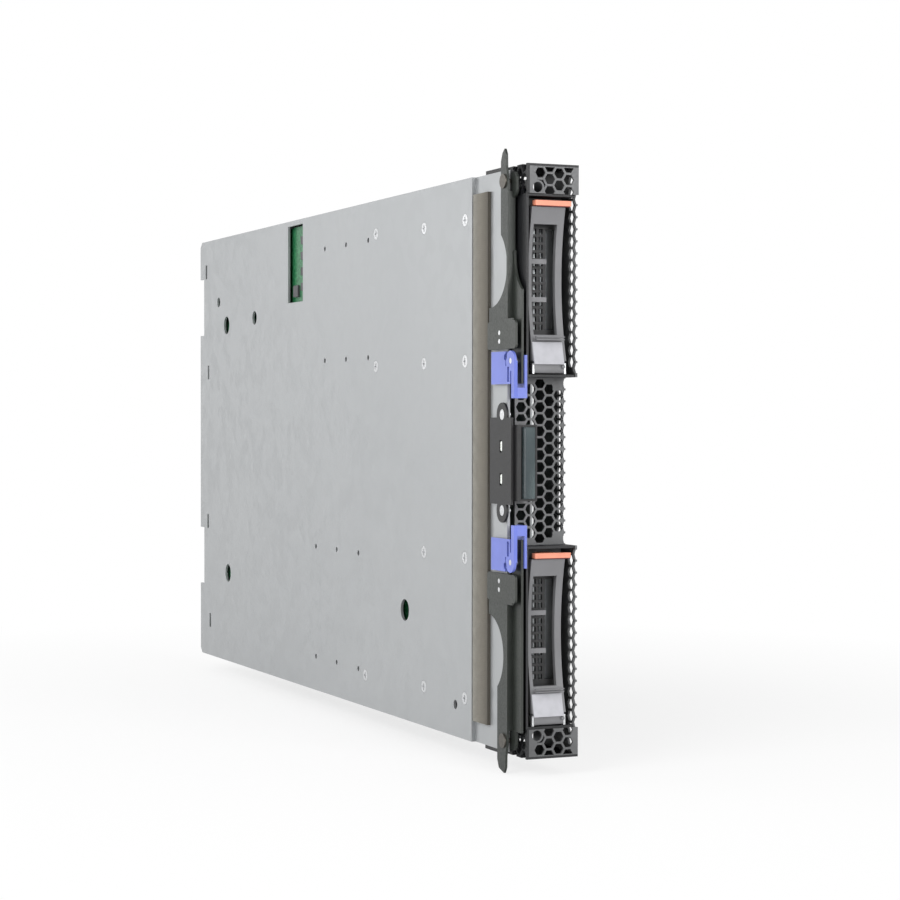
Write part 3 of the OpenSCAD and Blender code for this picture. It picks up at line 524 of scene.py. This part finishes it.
def add_pieces():
    add_memory_chips()
    add_panel_plugs()
    add_handle_ridges()
    add_latch_shades()
    add_door_frame()
    add_connector_pins()


# ---- Camera, floor and light ----

CAMERA_PLACE = Vector((-398.9, -1041.6, 139.1)) * MM
CAMERA_YAW = math.radians(23.37)
CAMERA_PITCH = math.radians(-0.86)
CAMERA_ROLL = math.radians(0.05)
FOCAL = 88.72


def add_camera():
    """Stands at the front left of the blade, just above mid height, with a long lens."""
    lens = bpy.data.cameras.new("camera")
    lens.lens = FOCAL
    lens.sensor_width = 36.0
    lens.clip_start = 0.01
    camera = bpy.data.objects.new("camera", lens)
    ahead = Vector((math.sin(CAMERA_YAW) * math.cos(CAMERA_PITCH),
                    math.cos(CAMERA_YAW) * math.cos(CAMERA_PITCH), math.sin(CAMERA_PITCH)))
    turn = ahead.to_track_quat("-Z", "Y").to_matrix().to_4x4() @ Matrix.Rotation(CAMERA_ROLL, 4, "Z")
    camera.matrix_world = Matrix.Translation(CAMERA_PLACE) @ turn
    bpy.context.collection.objects.link(camera)
    bpy.context.scene.camera = camera


def floor_material():
    """Pale floor that takes the shadow near the blade and fades to plain white away from it."""
    material = bpy.data.materials.new("pale_floor")
    material.use_nodes = True
    tree = material.node_tree
    shader = tree.nodes["Principled BSDF"]
    shader.inputs["Base Color"].default_value = (0.92, 0.92, 0.92, 1.0)
    shader.inputs["Roughness"].default_value = 0.9
    place = tree.nodes.new("ShaderNodeTexCoord")
    reach = tree.nodes.new("ShaderNodeVectorMath")
    reach.operation = "LENGTH"
    fade = tree.nodes.new("ShaderNodeMapRange")
    for socket, value in (("From Min", 0.1), ("From Max", 0.5), ("To Min", 0.72), ("To Max", 1.0)):
        fade.inputs[socket].default_value = value
    ray = tree.nodes.new("ShaderNodeLightPath")
    seen = tree.nodes.new("ShaderNodeMath")
    seen.operation = "MULTIPLY"
    white = tree.nodes.new("ShaderNodeEmission")
    white.inputs["Color"].default_value = (1.0, 1.0, 1.0, 1.0)
    choice = tree.nodes.new("ShaderNodeMixShader")
    tree.links.new(place.outputs["Object"], reach.inputs[0])
    tree.links.new(reach.outputs["Value"], fade.inputs["Value"])
    tree.links.new(fade.outputs["Result"], seen.inputs[0])
    tree.links.new(ray.outputs["Is Camera Ray"], seen.inputs[1])
    tree.links.new(seen.outputs["Value"], choice.inputs["Fac"])
    tree.links.new(shader.outputs["BSDF"], choice.inputs[1])
    tree.links.new(white.outputs["Emission"], choice.inputs[2])
    tree.links.new(choice.outputs["Shader"], tree.nodes["Material Output"].inputs["Surface"])
    return material


def add_floor():
    """Plain pale floor under the blade, which hangs in its slot a little above it."""
    mesh = bpy.data.meshes.new("floor")
    half = 6.0
    level = cad_box[0][2] - 0.0005
    mesh.from_pydata([(-half, -half, level), (half, -half, level), (half, half, level), (-half, half, level)],
                     [], [(0, 1, 2, 3)])
    floor = bpy.data.objects.new("floor", mesh)
    floor.data.materials.append(floor_material())
    bpy.context.collection.objects.link(floor)


def add_lamp(name, place, target, size, power):
    """A round soft lamp that looks at a target."""
    light = bpy.data.lights.new(name, "AREA")
    light.shape = "DISK"
    light.size = size
    light.energy = power
    lamp = bpy.data.objects.new(name, light)
    way = Vector(target) - Vector(place)
    lamp.matrix_world = Matrix.Translation(place) @ way.to_track_quat("-Z", "Y").to_matrix().to_4x4()
    bpy.context.collection.objects.link(lamp)


def add_light():
    world = bpy.data.worlds.new("studio")
    bpy.context.scene.world = world
    world.use_nodes = True
    tree = world.node_tree
    background = tree.nodes["Background"]
    background.inputs["Color"].default_value = (1.0, 1.0, 1.0, 1.0)
    background.inputs["Strength"].default_value = 0.55
    seen = tree.nodes.new("ShaderNodeBackground")
    seen.inputs["Color"].default_value = (1.0, 1.0, 1.0, 1.0)
    seen.inputs["Strength"].default_value = 1.0
    ray = tree.nodes.new("ShaderNodeLightPath")
    choice = tree.nodes.new("ShaderNodeMixShader")
    tree.links.new(ray.outputs["Is Camera Ray"], choice.inputs["Fac"])
    tree.links.new(background.outputs["Background"], choice.inputs[1])
    tree.links.new(seen.outputs["Background"], choice.inputs[2])
    tree.links.new(choice.outputs["Shader"], tree.nodes["World Output"].inputs["Surface"])
    middle = (0.0, 0.0, 0.12)
    add_lamp("key", (-1.6, -0.9, 1.2), middle, 1.4, 24)
    add_lamp("front", (0.5, -2.2, 0.7), middle, 1.2, 22)
    add_lamp("fill", (-1.5, 1.4, 0.6), middle, 1.6, 12)


def main():
    dress_nodes()
    add_pieces()
    add_camera()
    add_floor()
    add_light()
    bpy.context.scene.view_settings.view_transform = "Standard"


main()
